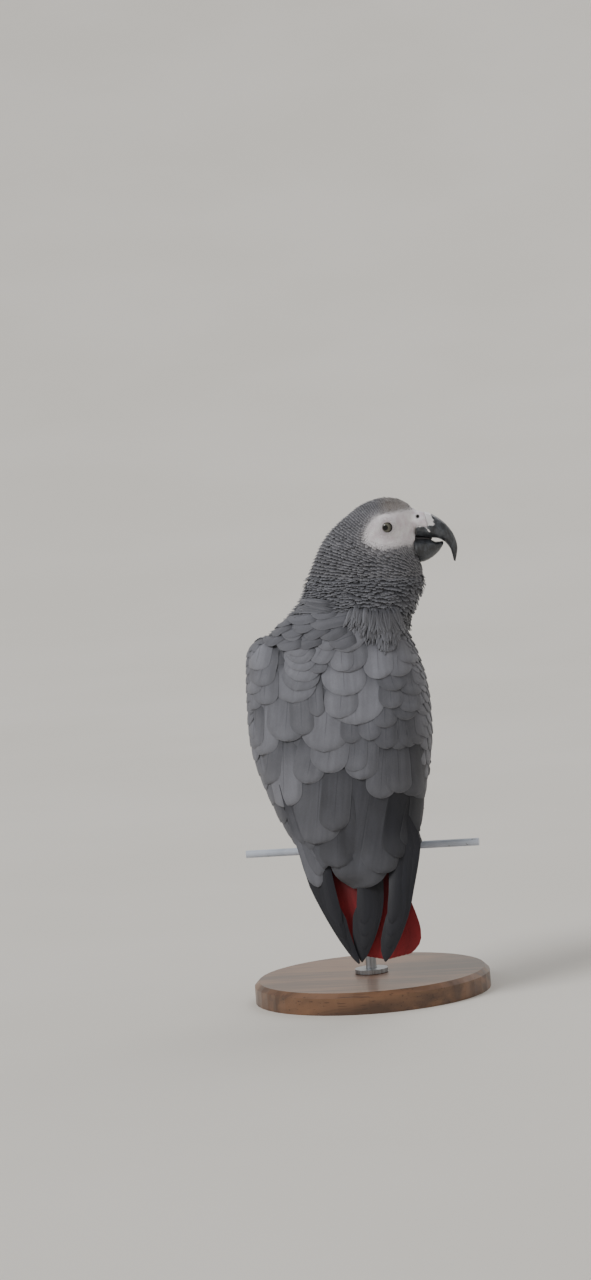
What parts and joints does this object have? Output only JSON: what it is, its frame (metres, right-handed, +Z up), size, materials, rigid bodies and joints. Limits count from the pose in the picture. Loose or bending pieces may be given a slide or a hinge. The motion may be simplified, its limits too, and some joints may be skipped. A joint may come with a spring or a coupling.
{
  "type": "grey parrot",
  "caption": "Life-size grey parrot with a red tail, perched upright on a short wire and looking over its right shoulder, on a plain display stand.",
  "frame": {"origin": "centre of the underside of the stand's round base", "axes": "+Z up, breast towards -Y, the bird's left wing towards +X, bill towards -X"},
  "size_m": [0.156, 0.156, 0.3256],
  "materials": {
    "plumage": "soft, matte, scaled with overlapping feathers",
    "flight_feathers": "smooth, low sheen",
    "tail_feathers": "smooth, low sheen",
    "horn": "polished, lightly scuffed",
    "bare_skin": "matte, finely wrinkled",
    "scaled_skin": "dry, scaled",
    "eye": "wet gloss",
    "wire": "worn paint with chips",
    "rod": "brushed",
    "base": "satin varnish"
  },
  "bodies": {
    "root": {"head": "plumage", "neck": "plumage", "trunk": "plumage", "wing_left": "plumage", "wing_right": "plumage", "thigh_left": "plumage", "thigh_right": "plumage", "primaries_left": "flight_feathers", "primaries_left_inner": "flight_feathers", "primaries_right": "flight_feathers", "tail": "tail_feathers", "cere": "bare_skin", "bill_upper": "horn", "bill_lower": "horn", "eye_left": "eye", "eye_right": "eye", "foot_left": "scaled_skin", "foot_right": "scaled_skin", "claw_left_1": "horn", "claw_left_2": "horn", "claw_left_3": "horn", "claw_left_4": "horn", "claw_right_1": "horn", "claw_right_2": "horn", "claw_right_3": "horn", "claw_right_4": "horn", "perch_wire": "wire", "stand_clamp": "rod", "stand_rod": "rod", "stand_flange": "rod", "stand_base": "base"}
  },
  "joints": []
}
